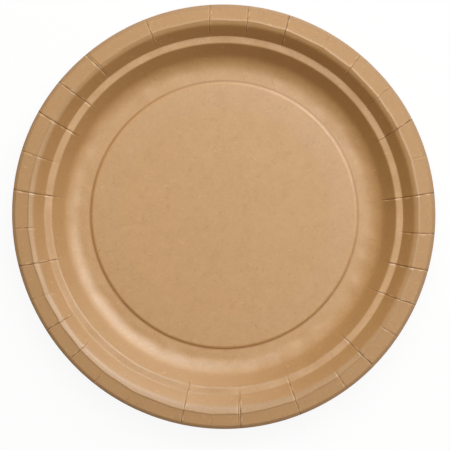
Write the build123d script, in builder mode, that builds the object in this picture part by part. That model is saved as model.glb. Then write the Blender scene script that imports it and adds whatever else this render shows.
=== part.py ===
"""A pressed kraft paper plate: one round blank of board with a raised floor, a stepped wall and a pleated rim.

Millimetres, +Z up. The origin is the centre of the plate on the table that its foot ring stands on.
Widths are seen from above and, like the heights, are those of the upper face; the board's thickness lies below it.
"""

import os
from math import asin, cos, hypot, radians, sin, tan

from build123d import *

# The board and the outline of the plate
board = 0.45  # thickness of the kraft board, about 350 g a square metre
plate_diameter = 230.0  # over the cut edge, a dinner plate of nominal 9 inches

# The rim: a flange that falls outwards, and the edge turned down once more
lip_width = 1.7
lip_fall = 32.0  # degrees below flat
flange_width = 9.0
flange_fall = 8.0  # degrees below flat

# The wall: two slopes with a ledge between them
wall_slope = 50.0  # degrees from flat, both slopes
crest_bevel = 1.0  # the crest is bent in two steps, this far before and after the sharp corner
upper_slope_width = 6.6
ledge_width = 3.9
ledge_rise = 0.15  # the ledge climbs slightly outwards
lower_slope_width = 9.5
wall_foot_curve = 12.5  # radius in which the foot ring sweeps up into the lower slope

# The floor: a foot ring that stands on the table, and a raised disc inside it
foot_ring_width = 10.5
step_width = 2.6
disc_rise = 0.9

# The pleats: where the press gathers the blank, the board folds down in a narrow valley
pleat_drop = 0.3  # depth of the valley at the crest, straight down
pleat_width = 1.3  # width of the valley at the crest
pleat_entry = 1.2  # length over which a pleat sinks from the surface to its depth

# Places of the pleats, in degrees clockwise from +Y, by how far inwards they run.
# The press gathers the board as it likes, so they follow no pattern.
long_pleats = (63, 84, 105, 115, 135, 191.5, 256, 277, 299.5, 309.5)  # down the lower slope
middle_pleats = (7, 18.5, 40.5, 52.5, 95, 158.5, 175, 227, 237, 288, 319.5, 338.5, 356.5)  # to the ledge
short_pleats = (30.5, 73, 124.5, 144.5, 183.5, 207.5, 218, 246, 266.5)  # to the upper slope

tool_margin = 0.1  # a pleat's tool starts this far off the face that it cuts
tool_overlap = 1.3  # and its section is this many times as high as the pleat is deep

# Radii, from the edge inwards
plate_radius = plate_diameter / 2
blank_radius = plate_radius + board  # before the edge is trimmed
lip_radius = plate_radius - lip_width
crest_radius = lip_radius - flange_width
ledge_outer_radius = crest_radius - upper_slope_width
ledge_inner_radius = ledge_outer_radius - ledge_width
wall_foot_radius = ledge_inner_radius - lower_slope_width
step_foot_radius = wall_foot_radius - foot_ring_width
disc_radius = step_foot_radius - step_width

# Heights, from the foot ring up
foot_height = board
disc_height = foot_height + disc_rise
ledge_inner_height = foot_height + lower_slope_width * tan(radians(wall_slope))
ledge_outer_height = ledge_inner_height + ledge_rise
crest_height = ledge_outer_height + upper_slope_width * tan(radians(wall_slope))
lip_height = crest_height - flange_width * tan(radians(flange_fall))
edge_height = lip_height - (blank_radius - lip_radius) * tan(radians(lip_fall))

# Corners of the upper face in section, as radius and height
upper_corners = (
    (0, disc_height),
    (disc_radius, disc_height),
    (step_foot_radius, foot_height),
    (wall_foot_radius, foot_height),
    (ledge_inner_radius, ledge_inner_height),
    (ledge_outer_radius, ledge_outer_height),
    (
        crest_radius - crest_bevel * cos(radians(wall_slope)),
        crest_height - crest_bevel * sin(radians(wall_slope)),
    ),
    (
        crest_radius + crest_bevel * cos(radians(flange_fall)),
        crest_height - crest_bevel * sin(radians(flange_fall)),
    ),
    (lip_radius, lip_height),
    (blank_radius, edge_height),
)
curves = tuple(wall_foot_curve if radius == wall_foot_radius else 0 for radius, height in upper_corners[1:-1])

# Where the pleats of each length start: above the foot curve, on the ledge and on the upper slope
foot_curve_end = wall_foot_radius + wall_foot_curve * tan(radians(wall_slope / 2)) * cos(radians(wall_slope))
pleat_sets = (
    (foot_curve_end + pleat_entry, long_pleats),
    (ledge_inner_radius + ledge_width / 4, middle_pleats),
    (ledge_outer_radius + upper_slope_width / 4, short_pleats),
)
pleat_half_angle = asin(pleat_width / 2 / crest_radius)


def down_normal(start, end):
    """Unit vector square to the line from start to end, to its lower side."""
    run, rise = end[0] - start[0], end[1] - start[1]
    length = hypot(run, rise)
    return rise / length, -run / length


def lowered(corners):
    """The corners of the lower face: each upper corner moved so that the board is equally thick on both sides."""
    sides = [down_normal(start, end) for start, end in zip(corners, corners[1:])]
    moved = []
    for (radius, height), before, after in zip(corners, sides[:1] + sides, sides + sides[-1:]):
        reach = board / (1 + before[0] * after[0] + before[1] * after[1])
        moved.append((radius + reach * (before[0] + after[0]), height + reach * (before[1] + after[1])))
    return moved


def height_at(corners, at_radius):
    """Height of a face on the straight between two of its corners."""
    for (radius, height), (next_radius, next_height) in zip(corners, corners[1:]):
        if radius <= at_radius <= next_radius:
            return height + (next_height - height) * (at_radius - radius) / (next_radius - radius)


def pleat_section(radius, height, drop):
    """Triangle across a pleat on the +X side: its point lies drop below the face, and it opens upwards.

    Depth and width grow with the radius, so every side of a pleat is flat and meets the face in a straight line.
    """
    point = Vector(radius, 0, height - drop)
    half_width = radius * sin(pleat_half_angle)
    at_face = Vector(radius * cos(pleat_half_angle), half_width, height - drop + pleat_drop * radius / crest_radius)
    corner = point + (at_face - point) * tool_overlap
    return Wire.make_polygon([point, corner, Vector(corner.X, -corner.Y, corner.Z)])


def pleat(corners, start_radius):
    """One pleat on the +X side, along the face with those corners, from its start out past the edge."""
    sunk_radius = start_radius + pleat_entry
    sunk_corners = [(sunk_radius, height_at(corners, sunk_radius))]
    sunk_corners += [(radius, height) for radius, height in corners if radius > sunk_radius]
    sections = [pleat_section(start_radius, height_at(corners, start_radius), -tool_margin)]
    sections += [pleat_section(radius, height, pleat_drop * radius / crest_radius) for radius, height in sunk_corners]
    return Solid.make_loft(sections, ruled=True)


def pleats(corners):
    """Every pleat along the face with those corners."""
    return [
        Rot(0, 0, 90 - angle) * pleat(corners, start_radius)
        for start_radius, angles in pleat_sets
        for angle in angles
    ]


# The plate: the section turned round the axis, folded at the pleats and trimmed to its diameter
with BuildPart() as paper_plate:
    with BuildSketch(Plane.XZ):
        with BuildLine():
            FilletPolyline(*upper_corners, radius=curves)
            offset(amount=board, side=Side.RIGHT, kind=Kind.INTERSECTION)
        make_face()
    revolve(axis=Axis.Z)
    add(pleats(lowered(upper_corners)))
    add(pleats(upper_corners), mode=Mode.SUBTRACT)
    Cylinder(plate_radius, 2 * crest_height + board, mode=Mode.INTERSECT)

paper_plate.part.label = "paper_plate"
os.makedirs("parts", exist_ok=True)
export_step(paper_plate.part, "parts/paper_plate.step")
print("plate height", round(paper_plate.part.bounding_box().max.Z, 2), "mm")
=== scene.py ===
# %% [markdown]
# # A pressed kraft paper plate
#
# This lesson dresses the solid model of a paper plate for a studio picture. The real plate is one round
# blank of brown kraft board. A heated press pushes it into its shape in one stroke: a raised floor, a foot
# ring, a wall in two slopes and a rim that falls outwards. Board can't shrink, so round the rim it gathers
# into narrow folds, the pleats.
#
# The solid model holds the sizes. Here we work out the same sheet as a much finer surface, with soft bends
# and with every pleat a little different, and give it the look of kraft board.

from math import cos, pi, radians, sin, tan

import bpy
import numpy as np
from mathutils import Matrix, Vector


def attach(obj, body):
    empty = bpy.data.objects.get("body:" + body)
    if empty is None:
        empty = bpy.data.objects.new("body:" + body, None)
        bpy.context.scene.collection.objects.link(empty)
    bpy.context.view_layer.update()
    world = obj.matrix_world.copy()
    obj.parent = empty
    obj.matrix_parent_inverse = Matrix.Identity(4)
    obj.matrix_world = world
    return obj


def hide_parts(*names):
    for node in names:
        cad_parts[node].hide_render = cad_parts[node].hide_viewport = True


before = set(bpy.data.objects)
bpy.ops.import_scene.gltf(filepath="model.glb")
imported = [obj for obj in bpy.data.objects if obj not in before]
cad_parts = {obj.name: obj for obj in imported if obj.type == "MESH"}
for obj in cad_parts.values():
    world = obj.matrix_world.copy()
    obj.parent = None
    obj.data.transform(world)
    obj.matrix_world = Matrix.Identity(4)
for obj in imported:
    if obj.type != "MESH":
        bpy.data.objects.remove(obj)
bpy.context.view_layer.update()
MM = 0.001

# %% [markdown]
# ## The section of the board
#
# Cut the plate from its centre to its edge and you see one thin line with a few bends. We write down where
# the bends would meet if they were sharp, as radius and height of the upper face in millimetres, and how
# large each bend is. Drawing straight lines and arcs this way keeps the sizes easy to read, which a freehand
# curve would not. The crest is three bends: a wide one that rounds the wall over, and two small ones with a
# narrow bead between them, where the flange begins to fall.

# %% Corners of the upper face
BOARD = 0.45
PLATE_RADIUS = 115.0
WALL_SLOPE = radians(50.0)
SHOULDER_SLOPE = radians(17.0)
BEAD_FALL = radians(15.0)
FLANGE_FALL = radians(3.6)
LIP_FALL = radians(24.0)
DISC_RISE = 0.9
LEDGE_RISE = 0.35
# the ledge's outer side lies this far above the height of a 50 degree slope at the ledge's inner radius
LEDGE_LIFT = 0.15
DISC_RADIUS = 72.25
STEP_FOOT_RADIUS = 73.5
WALL_FOOT_RADIUS = 84.3
LEDGE_INNER_RADIUS = 93.8
LEDGE_OUTER_RADIUS = 97.7
SHOULDER_RADIUS = 103.45
CREST_RADIUS = 105.9
BEAD_RADIUS = 106.7
LIP_RADIUS = 113.3
FOOT_HEIGHT = BOARD
DISC_HEIGHT = FOOT_HEIGHT + DISC_RISE
LEDGE_OUTER_HEIGHT = FOOT_HEIGHT + (LEDGE_INNER_RADIUS - WALL_FOOT_RADIUS) * tan(WALL_SLOPE) + LEDGE_LIFT
LEDGE_INNER_HEIGHT = LEDGE_OUTER_HEIGHT - LEDGE_RISE
SHOULDER_HEIGHT = LEDGE_OUTER_HEIGHT + (SHOULDER_RADIUS - LEDGE_OUTER_RADIUS) * tan(WALL_SLOPE)
CREST_HEIGHT = SHOULDER_HEIGHT + (CREST_RADIUS - SHOULDER_RADIUS) * tan(SHOULDER_SLOPE)
BEAD_HEIGHT = CREST_HEIGHT - (BEAD_RADIUS - CREST_RADIUS) * tan(BEAD_FALL)
LIP_HEIGHT = BEAD_HEIGHT - (LIP_RADIUS - BEAD_RADIUS) * tan(FLANGE_FALL)
EDGE_HEIGHT = LIP_HEIGHT - (PLATE_RADIUS - LIP_RADIUS) * tan(LIP_FALL)
print("wall up to the shoulder:", round(SHOULDER_HEIGHT, 2), "mm, edge:", round(EDGE_HEIGHT, 2), "mm")

# %% Bends and points of the section
# radius, height, radius of the bend there, points across the bend, points along the straight after it
CORNERS = [
    (0.0, DISC_HEIGHT, 0.0, 1, 4),
    (DISC_RADIUS, DISC_HEIGHT, 1.9, 7, 0),
    (STEP_FOOT_RADIUS, FOOT_HEIGHT, 0.4, 4, 4),
    (WALL_FOOT_RADIUS, FOOT_HEIGHT, 12.5, 13, 4),
    (LEDGE_INNER_RADIUS, LEDGE_INNER_HEIGHT, 1.5, 7, 2),
    (LEDGE_OUTER_RADIUS, LEDGE_OUTER_HEIGHT, 0.6, 5, 3),
    (SHOULDER_RADIUS, SHOULDER_HEIGHT, 4.2, 7, 1),
    (CREST_RADIUS, CREST_HEIGHT, 0.7, 5, 0),
    (BEAD_RADIUS, BEAD_HEIGHT, 0.9, 3, 5),
    (LIP_RADIUS, LIP_HEIGHT, 2.2, 6, 2),
    (PLATE_RADIUS, EDGE_HEIGHT, 0.0, 1, 0),
]


def board_section(corners):
    """Points along the upper face and the unit normals there.

    A bend of radius b at a corner that turns by an angle t starts b * tan(t / 2) before the corner. Its
    points are the bend's centre minus or plus b times the normal, as the normal turns evenly through t.
    """
    points = []
    normals = []
    at = np.array([corner[:2] for corner in corners])
    runs = np.diff(at, axis=0)
    heading = np.arctan2(runs[:, 1], runs[:, 0])
    last = len(heading) - 1
    for i, (_, _, bend, across, along) in enumerate(corners):
        before = heading[max(i - 1, 0)]
        after = heading[min(i, last)]
        turn = after - before
        reach = bend * abs(tan(turn / 2))
        side = 1.0 if turn > 0 else -1.0
        start = at[i] - reach * np.array([cos(before), sin(before)])
        centre = start + side * bend * np.array([-sin(before), cos(before)])
        angle = np.linspace(before, after, across)
        normal = np.stack([-np.sin(angle), np.cos(angle)], axis=1)
        points.append(centre - side * bend * normal)
        normals.append(normal)
        if along:
            next_bend = corners[i + 1][2]
            next_turn = heading[min(i + 1, last)] - after
            next_reach = next_bend * abs(tan(next_turn / 2))
            leave = at[i] + reach * np.array([cos(after), sin(after)])
            arrive = at[i + 1] - next_reach * np.array([cos(after), sin(after)])
            share = np.linspace(0, 1, along + 2)[1:-1, None]
            points.append(leave + share * (arrive - leave))
            normals.append(np.tile([-sin(after), cos(after)], (along, 1)))
    return np.concatenate(points), np.concatenate(normals)


section, section_normal = board_section(CORNERS)
print("section points:", len(section), "highest:", round(section[:, 1].max(), 2), "mm")

# %% [markdown]
# ## Where the pleats lie
#
# On the real plate the blank is scored before it is pressed, and the board folds at the scores. The folds
# are not a perfect pattern: some run down the whole wall, some stop at the ledge, some barely show. A sine
# wave round the rim would look like a pie tin, so each pleat gets its own row: its direction at the edge, its
# direction at its inner end, how far in it runs, and how deep it is. Directions are degrees clockwise
# from +Y.

# %% The rows of the pleats
# direction at the edge, direction at the inner end, radius of the inner end in mm,
# depth (1 is a full pleat), distance to a twin line beside it in mm (0 is none)
PLEATS = [
    (7.0, 7.1, 98.0, 0.8, 0.0),
    (18.3, 19.0, 95.0, 1.0, 0.0),
    (30.5, 30.6, 99.0, 0.45, 0.0),
    (40.5, 41.0, 98.0, 0.8, 0.0),
    (52.3, 52.8, 94.5, 0.6, 0.0),
    (62.8, 64.5, 89.5, 1.0, 0.0),
    (73.2, 73.4, 105.5, 0.5, 0.0),
    (83.6, 84.6, 84.5, 1.0, 0.0),
    (94.8, 95.3, 95.5, 0.8, 0.0),
    (104.8, 106.0, 90.0, 1.0, 0.0),
    (114.7, 116.5, 88.0, 1.0, 0.0),
    (124.6, 124.9, 102.0, 0.6, 0.0),
    (134.8, 135.3, 89.5, 1.0, 0.0),
    (144.3, 144.1, 101.0, 0.6, 0.0),
    (151.0, 151.0, 104.0, 0.12, 0.0),
    (158.6, 158.4, 93.0, 0.8, 0.0),
    (167.0, 167.0, 104.0, 0.12, 0.0),
    (175.2, 174.7, 94.0, 0.9, 1.1),
    (183.3, 183.4, 105.5, 0.4, 0.0),
    (191.5, 191.4, 89.5, 0.8, 0.0),
    (199.5, 199.5, 104.0, 0.12, 0.0),
    (207.5, 207.5, 105.0, 0.5, 0.0),
    (217.8, 217.5, 104.0, 0.6, 0.0),
    (226.9, 226.7, 98.0, 0.8, 0.0),
    (237.1, 236.6, 95.5, 0.9, 0.0),
    (246.3, 245.8, 101.0, 0.4, 0.0),
    (256.2, 255.0, 89.5, 1.0, 0.0),
    (266.5, 266.3, 101.0, 0.5, 0.0),
    (277.2, 276.2, 89.0, 1.0, 0.0),
    (288.0, 287.5, 94.3, 0.6, 0.0),
    (299.5, 298.6, 88.0, 1.0, 0.0),
    (309.3, 309.8, 89.5, 1.0, 0.0),
    (319.6, 320.6, 95.5, 0.9, 1.0),
    (329.0, 329.0, 104.0, 0.12, 0.0),
    (338.5, 338.4, 95.5, 0.8, 0.0),
    (347.5, 347.5, 104.0, 0.12, 0.0),
    (356.5, 355.5, 95.5, 0.8, 0.0),
]
pleat_edge, pleat_inner, pleat_reach, pleat_depth, pleat_twin = np.array(PLEATS).T
# how far a pleat leans from the radius, in degrees for each millimetre inwards
pleat_lean = (pleat_inner - pleat_edge) / (PLATE_RADIUS - pleat_reach)
print("pleats:", len(PLEATS))

# %% [markdown]
# ## A grid that follows the pleats
#
# A pleat is about a millimetre wide on a rim 720 mm round. An even grid fine enough for it would need
# thousands of lines. Instead the lines of this grid crowd together at each pleat and lean with it, and only
# a few cross the plain board between two pleats.

# %% The directions of the grid
# distances of the grid's lines from a pleat in mm, and the same for a pleat with a twin line beside it
ACROSS_PLEAT = np.array([-1.4, -0.8, -0.5, -0.3, -0.14, 0.0, 0.14, 0.3, 0.5, 0.8, 1.4])
ACROSS_TWIN = np.concatenate([ACROSS_PLEAT[:9], [0.75, 0.9, 1.05, 1.2, 1.35, 1.55, 2.1]])
BETWEEN_PLEATS = 4
DEGREES_PER_MM = 180 / (pi * PLATE_RADIUS)


def grid_directions():
    """Directions of the grid's lines at the edge: those across every pleat, and even steps between pleats."""
    groups = []
    for edge, twin in zip(pleat_edge, pleat_twin):
        across = ACROSS_TWIN if twin else ACROSS_PLEAT
        groups.append(edge + across * DEGREES_PER_MM)
    lines = []
    for group, following in zip(groups, groups[1:] + [groups[0] + 360]):
        lines.append(group)
        lines.append(np.linspace(group[-1], following[0], BETWEEN_PLEATS + 2)[1:-1])
    return np.concatenate(lines)


edge_direction = grid_directions()
lean = np.interp(edge_direction, pleat_edge, pleat_lean, period=360)
# one row for each point of the section, one column for each line: the direction there
inwards = PLATE_RADIUS - np.maximum(section[:, 0], pleat_reach.min())
direction = edge_direction[None, :] + inwards[:, None] * lean[None, :]
print("grid:", len(section), "by", len(edge_direction))

# %% [markdown]
# ## The pleats themselves
#
# Seen across, a pleat is a narrow valley with a low ridge on either side, where the board is pushed up. On a
# grid this dense the depth can be a plain formula of the distance from the pleat's line, which is easier to
# steer than sculpting. No fold is equally sharp all along, so the depth swells and fades as it runs out.
# Beside one side of each fold a pale band is painted on as a painted highlight, coming and going along the
# pleat. We keep it as a second number at each point, for the material.

# %% Depth of the pleats and their painted highlight
# in mm: the valley, the ridges beside it, how a pleat fades in round its inner end, and its painted highlight
PLEAT_DROP = 0.3
PLEAT_HALF_WIDTH = 0.5
PLEAT_POINT = 0.05
RIDGE_HEIGHT = 0.03
RIDGE_AWAY = 0.8
RIDGE_WIDTH = 0.25
ENTRY_BEFORE = 0.5
ENTRY_AFTER = 5.0
CROWN_AWAY = 0.6
CROWN_WIDTH = 0.28
# shares of the depth: how uneven it is, and how deep a twin line is
PLEAT_UNEVEN = 0.25
TWIN_DEPTH = 0.7
# how fast the depth and the painted highlight change along a pleat, in radians for each mm, drawn between
# these
UNEVEN_PACE = (0.8, 1.6)
HIGHLIGHT_PACE = (0.7, 1.3)
# the part of the highlight's cosine over which it goes from none to full
HIGHLIGHT_RANGE = (-0.4, 0.9)
rng = np.random.default_rng(7)


def smoothstep(low, high, value):
    """0 below low, 1 above high, and between them 3 s^2 - 2 s^3 of the share s of the way."""
    share = np.clip((value - low) / (high - low), 0, 1)
    return share * share * (3 - 2 * share)


def chance_cosine(radius, pace):
    """A cosine of the radius whose pace and phase are drawn once."""
    return np.cos(radius * rng.uniform(*pace) + rng.uniform(0, 2 * pi))


def valley(offset):
    """Depth across a pleat, 1 in the middle: a V with a soft point, less a bell-shaped ridge on each side."""
    arm = (np.sqrt(offset**2 + PLEAT_POINT**2) - PLEAT_POINT) / PLEAT_HALF_WIDTH
    ridge = np.exp(-(((np.abs(offset) - RIDGE_AWAY) / RIDGE_WIDTH) ** 2))
    return np.clip(1 - arm, 0, 1) - RIDGE_HEIGHT / PLEAT_DROP * ridge


def pleat_field(radius):
    """How deep the pleats are at every point of the grid, and how strong the painted highlight beside each.

    A pleat adds its depth times the valley of the distance from its line, and fades in from its inner end.
    Its painted highlight is a bell of the distance from a line CROWN_AWAY to one side.
    """
    depth = np.zeros_like(direction)
    crown = np.zeros_like(direction)
    for edge, reach, full, twin in zip(pleat_edge, pleat_reach, pleat_depth, pleat_twin):
        offset = ((edge_direction - edge + 180) % 360 - 180)[None, :] / DEGREES_PER_MM
        fade = smoothstep(reach - ENTRY_BEFORE, reach + ENTRY_AFTER, radius)
        fade *= 1 + PLEAT_UNEVEN * chance_cosine(radius, UNEVEN_PACE)
        # a painted highlight beside one side of the fold, coming and going along it
        crown_side = rng.choice((-1.0, 1.0))
        highlight_strength = smoothstep(*HIGHLIGHT_RANGE, chance_cosine(radius, HIGHLIGHT_PACE))
        crown += full * fade * highlight_strength * np.exp(-(((offset - CROWN_AWAY * crown_side) / CROWN_WIDTH) ** 2))
        depth += full * fade * valley(offset)
        if twin:
            depth += TWIN_DEPTH * full * fade * valley(offset - twin)
    return depth, crown


top_radius = np.repeat(section[:, :1], len(edge_direction), axis=1)
top_height = np.repeat(section[:, 1:], len(edge_direction), axis=1)
pleat, pleat_highlight = pleat_field(top_radius)
print("pleat depth up to", round(float((PLEAT_DROP * pleat).max()), 2), "mm")

# %% [markdown]
# ## A rim that isn't quite round
#
# Between two pleats the board stays a little straighter than a circle, so the crest is a polygon with many
# soft corners. And no pressed plate is perfectly round: its edge and its crest wander by half a millimetre or
# so. The slow waves are cosines and sines with the sizes this plate has, and faster ones are left to chance.
# The random numbers come from one generator with a fixed start, so every run gives the same plate.

# %% Panels and waves round the rim
# pleats shallower than this share of a full one don't bend the rim
FAINT_PLEAT = 0.2
# in mm: how far the middle of a panel may lie inside the circle, and how far the crest is pushed out
PANEL_LIMIT = 0.45
CREST_OUT = 0.45
# slow waves round the rim: how many, and the sizes of their cosine and sine in mm
EDGE_WAVES = [(1, -0.38, 0.08), (2, 0.15, -0.17), (3, -0.28, 0.0)]
CREST_WAVES = [(1, -0.26, 0.0), (2, 0.36, 0.0), (4, 0.2, 0.0)]
# waves left to chance: how many of each go round, and their greatest size in mm
EDGE_CHANCE = ((4, 5, 7, 9), 0.12)
CREST_CHANCE = ((23, 29, 37, 43, 53, 61), 0.22)
RIM_LIFT = ((3, 4, 6, 9, 11), 0.06)
WALL_LIFT = ((5, 8, 12, 17), 0.08)


def panel_field():
    """How far the board lies inside the true circle, by direction.

    A straight chord across a panel of angle a lies 4 t (1 - t) R (1 - cos(a / 2)) inside the circle, at the
    share t of the way from one pleat to the next. Faint pleats don't bend the rim.
    """
    strong = pleat_edge[pleat_depth > FAINT_PLEAT]
    following = np.append(strong[1:], strong[0] + 360)
    at = (edge_direction - strong[0]) % 360 + strong[0]
    panel = np.clip(np.searchsorted(strong, at, side="right") - 1, 0, len(strong) - 1)
    angle = following[panel] - strong[panel]
    share = (at - strong[panel]) / angle
    chord = CREST_RADIUS * (1 - np.cos(np.radians(angle / 2)))
    return 4 * share * (1 - share) * np.minimum(chord, PANEL_LIMIT)


def waves(rows):
    """The sum of a cosine and a sine by direction for each row."""
    turn = np.radians(edge_direction)
    return sum(cosine * np.cos(count * turn) + sine * np.sin(count * turn) for count, cosine, sine in rows)


def chance_waves(counts, size):
    """A closed wave by direction: for each count a cosine, its size drawn and divided by the count."""
    turn = np.radians(edge_direction)
    total = np.zeros_like(turn)
    for count in counts:
        total += rng.normal() * np.cos(count * turn + rng.uniform(0, 2 * pi)) / count
    return size * total / np.abs(total).max()


edge_shift = waves(EDGE_WAVES) + chance_waves(*EDGE_CHANCE)
crest_shift = CREST_OUT + waves(CREST_WAVES) + chance_waves(*CREST_CHANCE)
rim_lift = chance_waves(*RIM_LIFT)
wall_lift = chance_waves(*WALL_LIFT)
print("edge moves by", round(edge_shift.min(), 2), "to", round(edge_shift.max(), 2), "mm")

# %% [markdown]
# ## Shallow dents, and everything put together
#
# The board comes off the press a little buckled. The dents are far too shallow to see from the side, but they
# break up the sheen that runs round the wall. A sum of crossed waves with slants and lengths left to chance
# gives such a sheet. Then each of these fields goes onto the part of the section where it belongs.

# %% Dents and the finished upper face
DENT_WAVES = 24
# from top to top of a wave, and the greatest height, mm
DENT_LENGTHS = (11, 24)
DENT_SIZE = 0.35
# the radius at which the waves have their lengths, mm
DENT_RADIUS = 95
# where a field starts and where it is full, as radii in mm
DENTS_START = (74.0, 79.0)
DENTS_FADE = (100.0, 106.0)
WALL_START = (80.0, 92.0)
RIM_START = (98.0, 113.0)
# the share of the dents that is gone beyond the crest
DENTS_GONE = 0.75
# in mm: how far from the crest its own movement reaches, and how far inside the solid's edge this one lies
CREST_WIDTH = 3.0
EDGE_INSET = 0.05


def dent_field():
    """A sheet of shallow dents: a sum of cosines, each running round and outwards at a drawn slant.

    The sum is scaled so that its highest or lowest point is DENT_SIZE from the sheet.
    """
    total = np.zeros_like(direction)
    for _ in range(DENT_WAVES):
        length = rng.uniform(*DENT_LENGTHS)
        slant = rng.uniform(0, 2 * pi)
        phase = rng.uniform(0, 2 * pi)
        # a whole number of waves goes round, so that the sheet closes
        round_waves = round(2 * pi * DENT_RADIUS * cos(slant) / length)
        outward_pace = 2 * pi * sin(slant) / length
        total += np.cos(round_waves * np.radians(direction) + outward_pace * section[:, :1] + phase)
    return DENT_SIZE * total / np.abs(total).max()


on_wall = smoothstep(*WALL_START, top_radius)
on_rim = smoothstep(*RIM_START, top_radius)
on_crest = np.exp(-(((top_radius - CREST_RADIUS) / CREST_WIDTH) ** 2))
dented = smoothstep(*DENTS_START, top_radius) * (1 - DENTS_GONE * smoothstep(*DENTS_FADE, top_radius))
top_height = top_height - PLEAT_DROP * pleat + on_rim * rim_lift + on_wall * wall_lift + dented * dent_field()
top_radius = top_radius + (crest_shift - panel_field()) * on_crest + on_rim * (edge_shift - EDGE_INSET)
print("highest point:", round(float(top_height.max()), 2), "mm")

# %% [markdown]
# ## From the sheet to a mesh
#
# The lower face is the upper one moved by the board's thickness along the section's normal, and a narrow
# band with a soft middle closes the cut edge. A Solidify modifier would do the same, but the grid is at hand,
# and computing both faces lets us mark the cut edge and the folds for the material.

# %% Points and faces of the plate
# how far the middle of the cut edge stands out, mm
EDGE_BULGE = 0.05


def to_xyz(radius, height):
    """Points in metres: x is the radius times the direction's sine, y times its cosine, z the height."""
    turn = np.radians(direction)
    return np.stack([radius * np.sin(turn), radius * np.cos(turn), height], axis=-1) * MM


def plate_points():
    """Rings of points: the upper face from the centre out, the cut edge, the lower face back to the centre.

    A lower point is the upper one less the board's thickness times the normal, and never below the table. The
    centre of each face is a single point, given apart.
    """
    low_radius = top_radius - BOARD * section_normal[:, :1]
    low_height = np.maximum(top_height - BOARD * section_normal[:, 1:], 0)
    upper = to_xyz(top_radius, top_height)
    lower = to_xyz(low_radius, low_height)
    edge_turn = np.radians(direction[-1])
    outwards = np.stack([np.sin(edge_turn), np.cos(edge_turn), np.zeros_like(edge_turn)], axis=-1)
    band = 0.5 * upper[-1] + 0.5 * lower[-1] + EDGE_BULGE * MM * outwards
    rings = np.concatenate([upper[1:], band[None], lower[:0:-1]])
    poles = np.array([upper[0].mean(axis=0), lower[0].mean(axis=0)])
    return rings, poles


def plate_faces(count, columns):
    """Quads between each ring and the next, and a fan of triangles round the centre point of each face."""
    index = np.arange(count * columns).reshape(count, columns)
    after = np.roll(index, -1, axis=1)
    quads = np.stack([index[:-1], index[1:], after[1:], after[:-1]], axis=-1).reshape(-1, 4)
    first_pole = np.full(columns, count * columns)
    upper_fan = np.stack([first_pole, index[0], after[0]], axis=1)
    lower_fan = np.stack([first_pole + 1, after[-1], index[-1]], axis=1)
    # directions run clockwise seen from above, so the faces are turned to point outwards
    return quads[:, ::-1].tolist() + upper_fan[:, ::-1].tolist() + lower_fan[:, ::-1].tolist()


rings, poles = plate_points()
plate_mesh = bpy.data.meshes.new("kraft_plate")
vertices = np.concatenate([rings.reshape(-1, 3), poles])
plate_mesh.from_pydata(vertices.tolist(), [], plate_faces(*rings.shape[:2]))
plate_mesh.polygons.foreach_set("use_smooth", np.ones(len(plate_mesh.polygons), bool))
plate = bpy.data.objects.new("kraft_plate", plate_mesh)
bpy.context.scene.collection.objects.link(plate)
print("plate triangles:", sum(len(p.vertices) - 2 for p in plate_mesh.polygons))

# %% [markdown]
# ## Marks for the material
#
# The material needs a few places that the geometry knows: the wall, the rim, the lip, the score round the
# floor, the folds and the cut edge. We store each as one number at every point, 0 where there is none of it.
# The press leaves the rim a deeper tone and the cut edge is paler, while on the wall, the lip, the score and
# in the folds a darker colour is painted shade, and a pale band beside each fold is a painted highlight.

# %% Store the marks
# where a mark starts and where it is full, as radii in mm
WALL_MARK = (84.0, 90.0)
RIM_MARK = (105.0, 108.0)
LIP_MARK = (112.6, 113.6)
# the flat ledge between the slopes is left out of the wall's painted shade: its middle and half its width, mm
LEDGE_MIDDLE = 95.8
LEDGE_HALF_WIDTH = 1.9
# how sharply its mark ends: 2 is a bell, more is a flat top
LEDGE_SHARPNESS = 6
# painted shade along the score round the floor: its width in mm, and its strength
SCORE_WIDTH = 0.5
SCORE_STRENGTH = 0.8
# the ring before the cut edge's soft middle, that middle, and the ring after it
CUT_EDGE = (0.6, 1.0, 0.6)


def store(label, upper, edge, lower):
    """One number at every point, from those of the upper face, of the cut edge and of the lower face."""
    upper = np.broadcast_to(upper, direction.shape)
    edge = np.broadcast_to(edge, direction[:1].shape)
    lower = np.broadcast_to(lower, direction.shape)
    rows = np.concatenate([upper[1:], edge, lower[:0:-1]])
    # the two centre points carry no mark
    values = np.append(rows.ravel(), [0, 0]).astype(np.float32)
    plate_mesh.attributes.new(label, "FLOAT", "POINT").data.foreach_set("value", values)


at = section[:, :1]
ledge = np.exp(-(((at - LEDGE_MIDDLE) / LEDGE_HALF_WIDTH) ** LEDGE_SHARPNESS))
# the wall's, the lip's and the score's marks lay on painted shade; the rim's gives a deeper tone and a duller
# face
pressed = {
    "pressed_rim": smoothstep(*RIM_MARK, at),
    "wall_painted_shade": smoothstep(*WALL_MARK, at) * (1 - ledge),
    "lip_painted_shade": smoothstep(*LIP_MARK, at),
    "score_painted_shade": SCORE_STRENGTH * np.exp(-(((at - STEP_FOOT_RADIUS) / SCORE_WIDTH) ** 2)),
}
# the fold mark lays painted shade into the pleats' valleys, and the next one a painted highlight beside them
fold = np.clip(pleat, 0, 1)
last_ring = (np.arange(len(section)) == len(section) - 1)[:, None]
store("fold", fold, 0, fold)
store("fold_painted_highlight", pleat_highlight, 0, 0)
for label, mark in pressed.items():
    store(label, mark, mark[-1:], mark)
store("cut_edge", CUT_EDGE[0] * last_ring, CUT_EDGE[1], CUT_EDGE[2] * last_ring)
plate_mesh.update()
print("marks:", [mark.name for mark in plate_mesh.attributes if mark.data_type == "FLOAT"])

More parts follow.
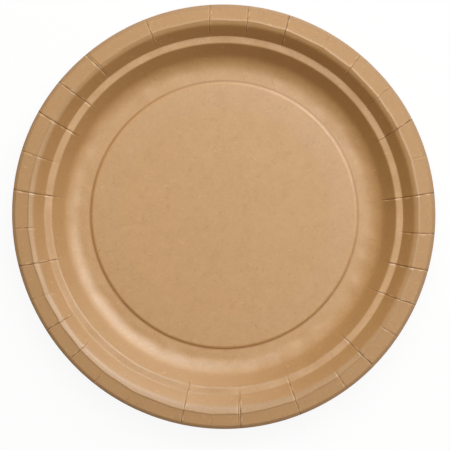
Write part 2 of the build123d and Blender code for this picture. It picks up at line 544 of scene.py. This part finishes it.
# %% [markdown]
# ## Kraft board
#
# Kraft is unbleached wood pulp. Its fibres are long and strong, and they keep the brown of the wood's own
# lignin. Seen from a step away the face is an even tan with soft clouds a few millimetres wide, where the
# pulp settled thicker or thinner, and single fibres show as fine dark and pale flecks. The face is
# calendered, so it has a dull sheen where light grazes it. Every pattern is solid noise on object
# coordinates. The two fibre noises are stretched along one direction each, because the fibres lie in the
# sheet.

# %% Colours and the node helper
def hex_to_linear(text):
    """sRGB hex to linear colour: each channel c is ((c + 0.055) / 1.055) ** 2.4, or c / 12.92 near black."""
    channels = [int(text[i : i + 2], 16) / 255 for i in (1, 3, 5)]
    return [c / 12.92 if c <= 0.04045 else ((c + 0.055) / 1.055) ** 2.4 for c in channels] + [1.0]


def add(tree, kind, settings=None, out=0, **inputs):
    """Adds a node, sets its properties, fills its inputs, and gives back one of its outputs.

    An input is filled with a number, a colour or another node's output. It is named with _ for a space, or by
    its place as i0, i1 and so on.
    """
    made = tree.nodes.new(kind)
    for key, value in (settings or {}).items():
        setattr(made, key, value)
    for key, value in inputs.items():
        by_place = key[0] == "i" and key[1:].isdigit()
        socket = made.inputs[int(key[1:]) if by_place else key.replace("_", " ")]
        if isinstance(value, bpy.types.NodeSocket):
            tree.links.new(value, socket)
        else:
            socket.default_value = value
    return made.outputs[out]


print("a mid grey in linear colour:", [round(channel, 3) for channel in hex_to_linear("#808080")])

# %% [markdown]
# The colour is built in layers. A wide cloud shifts the tan by a few percent, a finer one breaks it up at the
# scale of fibre clumps, and two stretched noises give dark and pale fibres. A real fibre is about 0.03 mm
# wide, too fine to show, so the flecks are drawn some ten times as wide. The hot press leaves the rim a
# little deeper in colour. The wall's slopes, the turned-down lip, the score round the floor and the pleats'
# valleys get painted shade, a darker colour where less light falls, and one side of each pleat a pale painted
# highlight. The torn fibres of the cut edge are paler than the lip beside it.

# %% Values of the board
KRAFT_LIGHT = "#D2A369"
KRAFT_MID = "#CC9D61"
KRAFT_DARK = "#C6965C"
FIBRE_DARK = "#9A6A32"
FIBRE_PALE = "#E6C08B"
# painted shade on the wall's slopes, darker where less light falls
WALL_PAINTED_SHADE = "#BB8C4F"
PRESSED_RIM = "#C3945B"
# painted shade, darker where less light falls: on the turned-down lip, along the score round the floor and in
# the pleats' valleys
LIP_PAINTED_SHADE = "#AE8451"
SCORE_PAINTED_SHADE = "#A9793C"
FOLD_PAINTED_SHADE = "#84561F"
# painted highlight, a pale band beside one side of each pleat
FOLD_PAINTED_HIGHLIGHT = "#E4C394"
CUT_FIBRES = "#C49A62"

# size of a feature in mm, octaves, roughness,
# share of the scale along x, y and z (a small share stretches the pattern), turn in degrees
NOISES = {
    "cloud": (11.0, 3.0, 0.55, (1.0, 1.0, 1.0), 0.0),
    "clump": (2.6, 4.0, 0.6, (1.0, 1.0, 1.0), 0.0),
    "dark_fibre": (0.9, 3.0, 0.7, (1.0, 0.35, 0.5), 24.0),
    "pale_fibre": (0.9, 3.0, 0.7, (0.4, 1.0, 0.5), 51.0),
}
NOISE_DISTORTION = 1.2
# pattern or mark of the mesh, where it starts and ends, how much of the colour it lays on, the colour
LAYERS = [
    ("cloud", 0.52, 0.66, 0.55, KRAFT_LIGHT),
    ("cloud", 0.48, 0.34, 0.55, KRAFT_DARK),
    ("clump", 0.5, 0.7, 0.65, KRAFT_LIGHT),
    ("clump", 0.5, 0.3, 0.65, KRAFT_DARK),
    ("wall_painted_shade", 0.0, 1.0, 0.85, WALL_PAINTED_SHADE),
    ("pressed_rim", 0.0, 1.0, 0.85, PRESSED_RIM),
    ("dark_fibre", 0.6, 0.71, 0.6, FIBRE_DARK),
    ("pale_fibre", 0.6, 0.71, 0.55, FIBRE_PALE),
    ("lip_painted_shade", 0.0, 1.0, 0.8, LIP_PAINTED_SHADE),
    ("score_painted_shade", 0.0, 1.0, 1.0, SCORE_PAINTED_SHADE),
    ("fold_painted_highlight", 0.1, 0.7, 0.8, FOLD_PAINTED_HIGHLIGHT),
    ("fold", 0.25, 0.95, 0.85, FOLD_PAINTED_SHADE),
    ("cut_edge", 0.5, 1.0, 0.7, CUT_FIBRES),
]
MARKS = ("fold", "fold_painted_highlight", "cut_edge", "wall_painted_shade", "pressed_rim", "lip_painted_shade", "score_painted_shade")
# dull on the floor and the wall, duller on the rim, and duller by up to CLUMP_ROUGHNESS where fibres clump
BOARD_ROUGHNESS = 0.55
RIM_ROUGHNESS = 0.8
CLUMP_ROUGHNESS = 0.08
# cellulose is near 1.5, and a calendered, starched face shines more; 0.5 is the plain specular level
BOARD_IOR = 1.6
BOARD_SPECULAR = 1.0
# strength, and height of the relief in metres
CLUMP_RELIEF = (0.35, 0.00008)
FIBRE_RELIEF = (0.25, 0.00005)
print("layers of colour:", len(LAYERS))


# %% Kraft board material
def kraft_board():
    """Unbleached kraft paperboard, calendered and hot pressed: dull tan, soft clouds, scattered fibres."""
    material = bpy.data.materials.new("kraft_paperboard_pressed")
    material.use_nodes = True
    tree = material.node_tree
    tree.nodes.clear()
    place = add(tree, "ShaderNodeTexCoord", out="Object")
    pattern = {}
    for name, (size_mm, octaves, roughness, shares, turned) in NOISES.items():
        scale = [share / (size_mm * MM) for share in shares]
        mapped = add(tree, "ShaderNodeMapping", Vector=place, Scale=scale, Rotation=(0, 0, radians(turned)))
        pattern[name] = add(
            tree, "ShaderNodeTexNoise",
            Vector=mapped, Scale=1.0, Detail=octaves, Roughness=roughness, Distortion=NOISE_DISTORTION,
        )
    for name in MARKS:
        pattern[name] = add(tree, "ShaderNodeAttribute", {"attribute_name": name}, out="Fac")
    # the Mix node's colours are its inputs 6 and 7, and the mixed colour is its output 2
    tone = hex_to_linear(KRAFT_MID)
    for name, start, end, strength, colour in LAYERS:
        amount = add(
            tree, "ShaderNodeMapRange", {"interpolation_type": "SMOOTHSTEP"},
            Value=pattern[name], From_Min=start, From_Max=end, To_Min=0.0, To_Max=strength,
        )
        tone = add(
            tree, "ShaderNodeMix", {"data_type": "RGBA"}, out=2,
            Factor=amount, i6=tone, i7=hex_to_linear(colour),
        )
    dull = add(
        tree, "ShaderNodeMapRange", Value=pattern["pressed_rim"],
        From_Min=0.0, From_Max=1.0, To_Min=BOARD_ROUGHNESS, To_Max=RIM_ROUGHNESS,
    )
    rough = add(
        tree, "ShaderNodeMath", {"operation": "MULTIPLY_ADD"},
        i0=pattern["clump"], i1=CLUMP_ROUGHNESS, i2=dull,
    )
    coarse_strength, coarse_height = CLUMP_RELIEF
    coarse = add(
        tree, "ShaderNodeBump",
        Strength=coarse_strength, Distance=coarse_height, Height=pattern["clump"],
    )
    fine_strength, fine_height = FIBRE_RELIEF
    fine = add(
        tree, "ShaderNodeBump",
        Strength=fine_strength, Distance=fine_height, Height=pattern["dark_fibre"], Normal=coarse,
    )
    shader = add(
        tree, "ShaderNodeBsdfPrincipled",
        Base_Color=tone, Roughness=rough, IOR=BOARD_IOR, Specular_IOR_Level=BOARD_SPECULAR, Normal=fine,
    )
    tree.links.new(shader, tree.nodes.new("ShaderNodeOutputMaterial").inputs["Surface"])
    return material


plate.data.materials.append(kraft_board())
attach(plate, "root")
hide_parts("paper_plate")
print("material:", plate.data.materials[0].name)

# %% [markdown]
# ## The floor
#
# The picture is a plain studio shot on white. A floor that is simply white would need so much light that the
# plate washes out. So the camera sees a floor that mostly glows by itself, with a small share of lit paint
# that keeps the plate's soft shadow. The plate itself gets the light of an ordinary pale floor.

# %% Floor
FLOOR_HALF = 3.0
# metres below the foot ring, so that the two faces don't share a plane
FLOOR_DROP = 0.00005
FLOOR_PAINT = (0.8, 0.8, 0.8, 1)
SEEN_PAINT = (0.085, 0.085, 0.085, 1)
SEEN_GLOW = 0.925
WHITE = (1, 1, 1, 1)


def pale_floor():
    """White floor: the camera sees mostly its own glow, and a small lit share that keeps the shadow."""
    material = bpy.data.materials.new("studio_paper_floor")
    material.use_nodes = True
    tree = material.node_tree
    tree.nodes.clear()
    camera_ray = add(tree, "ShaderNodeLightPath", out="Is Camera Ray")
    lit = add(tree, "ShaderNodeBsdfDiffuse", Color=FLOOR_PAINT)
    seen_lit = add(tree, "ShaderNodeBsdfDiffuse", Color=SEEN_PAINT)
    glow = add(tree, "ShaderNodeEmission", Color=WHITE, Strength=SEEN_GLOW)
    seen = add(tree, "ShaderNodeAddShader", i0=seen_lit, i1=glow)
    both = add(tree, "ShaderNodeMixShader", i0=camera_ray, i1=lit, i2=seen)
    tree.links.new(both, tree.nodes.new("ShaderNodeOutputMaterial").inputs["Surface"])
    return material


floor_corners = [(FLOOR_HALF * x, FLOOR_HALF * y, 0) for x, y in ((-1, -1), (1, -1), (1, 1), (-1, 1))]
floor_mesh = bpy.data.meshes.new("floor")
floor_mesh.from_pydata(floor_corners, [], [(0, 1, 2, 3)])
floor = bpy.data.objects.new("floor", floor_mesh)
floor.location.z = -FLOOR_DROP
floor.data.materials.append(pale_floor())
bpy.context.scene.collection.objects.link(floor)
print("floor:", 2 * FLOOR_HALF, "m wide")

# %% [markdown]
# ## Lamps and room
#
# A studio lamp on board does two things: it lights the colour, and it leaves a sheen on the slopes that turn
# it towards us. Here they are set apart, so that each can be placed by itself. The key softbox, high beyond
# the top of the picture, gives only the diffuse light. A narrower softbox further to the right and a low one
# give only the gloss, in a slightly warm white. A dim warm room fills the shadows, and only the camera sees
# the room as white.

# %% Lamps
KEY = dict(azimuth=24.0, height=55.5, strength=2.74, distance=1.2, spread=60.0)
SHEEN = dict(azimuth=47.0, height=51.0, strength=3.35, distance=1.2, spread=14.0)
STRIP = dict(azimuth=15.0, height=12.0, strength=1.1, distance=1.5, spread=40.0)
WARM_WHITE = (1.0, 0.95, 0.86)


def lamp(name, azimuth, height, strength, distance, spread, colour=(1, 1, 1)):
    """A round softbox that faces the plate.

    Azimuth is clockwise from +Y and height is above the floor, in degrees. Spread is how wide the lamp looks
    from the plate. A disc of radius r and radiance L at distance d gives pi L r^2 / (r^2 + d^2), which is set
    to the strength, and its power is pi L times its area.
    """
    radius = distance * tan(radians(spread / 2))
    radiance = strength * (radius**2 + distance**2) / (pi * radius**2)
    light = bpy.data.lights.new(name, "AREA")
    light.shape = "DISK"
    light.size = 2 * radius
    light.energy = pi * radiance * pi * radius**2
    light.color = colour
    made = bpy.data.objects.new(name, light)
    towards = Vector((
        sin(radians(azimuth)) * cos(radians(height)),
        cos(radians(azimuth)) * cos(radians(height)),
        sin(radians(height)),
    ))
    made.rotation_euler = towards.to_track_quat("Z", "Y").to_euler()
    made.location = towards * distance
    bpy.context.scene.collection.objects.link(made)
    return made


key = lamp("key_softbox", **KEY)
key.visible_glossy = False
sheen = lamp("sheen_softbox", colour=WARM_WHITE, **SHEEN)
sheen.visible_diffuse = False
strip = lamp("low_strip_softbox", colour=WARM_WHITE, **STRIP)
strip.visible_diffuse = False
print("lamps, watts:", [round(made.data.energy, 1) for made in (key, sheen, strip)])

# %% Room
ROOM_COLOUR = (1.0, 0.7, 0.45, 1)
ROOM_STRENGTH = 0.11

world = bpy.data.worlds.new("studio")
world.use_nodes = True
bpy.context.scene.world = world
world.node_tree.nodes.clear()
room = add(world.node_tree, "ShaderNodeBackground", Color=ROOM_COLOUR, Strength=ROOM_STRENGTH)
white = add(world.node_tree, "ShaderNodeBackground", Color=WHITE, Strength=1.0)
seen_by = add(world.node_tree, "ShaderNodeLightPath", out="Is Camera Ray")
either = add(world.node_tree, "ShaderNodeMixShader", i0=seen_by, i1=room, i2=white)
world.node_tree.links.new(either, world.node_tree.nodes.new("ShaderNodeOutputWorld").inputs["Surface"])
print("room strength:", ROOM_STRENGTH)

# %% [markdown]
# ## The camera
#
# The camera hangs almost straight above the plate, tipped by under two degrees each way. For a view this
# steep, a constraint or a tracking rotation would pick its own idea of which way is up, so the three axes
# are written out.

# %% Camera
TILT_X = radians(1.78)
TILT_Y = radians(1.76)
DISTANCE = 1.5
AIM = Vector((0.00107, -0.00481, 0.0185))
VIEW_WIDTH = 0.2439
SENSOR = 36.0
CLIP_END = 20

camera_data = bpy.data.cameras.new("camera")
camera_data.sensor_width = SENSOR
camera_data.lens = SENSOR * DISTANCE / VIEW_WIDTH
camera_data.clip_end = CLIP_END
camera = bpy.data.objects.new("camera", camera_data)
towards_camera = Vector((tan(TILT_X), tan(TILT_Y), 1)).normalized()
camera.location = AIM + towards_camera * DISTANCE
# the camera looks down its own -Z, and the top of the picture is +Y
camera_right = Vector((0, 1, 0)).cross(towards_camera).normalized()
camera_axes = Matrix((camera_right, towards_camera.cross(camera_right), towards_camera)).transposed()
camera.rotation_euler = camera_axes.to_euler()
bpy.context.scene.collection.objects.link(camera)
bpy.context.scene.camera = camera
bpy.context.scene.view_settings.view_transform = "Standard"
print("lens:", round(camera_data.lens, 1), "mm")

# %% Update the scene
bpy.context.view_layer.update()
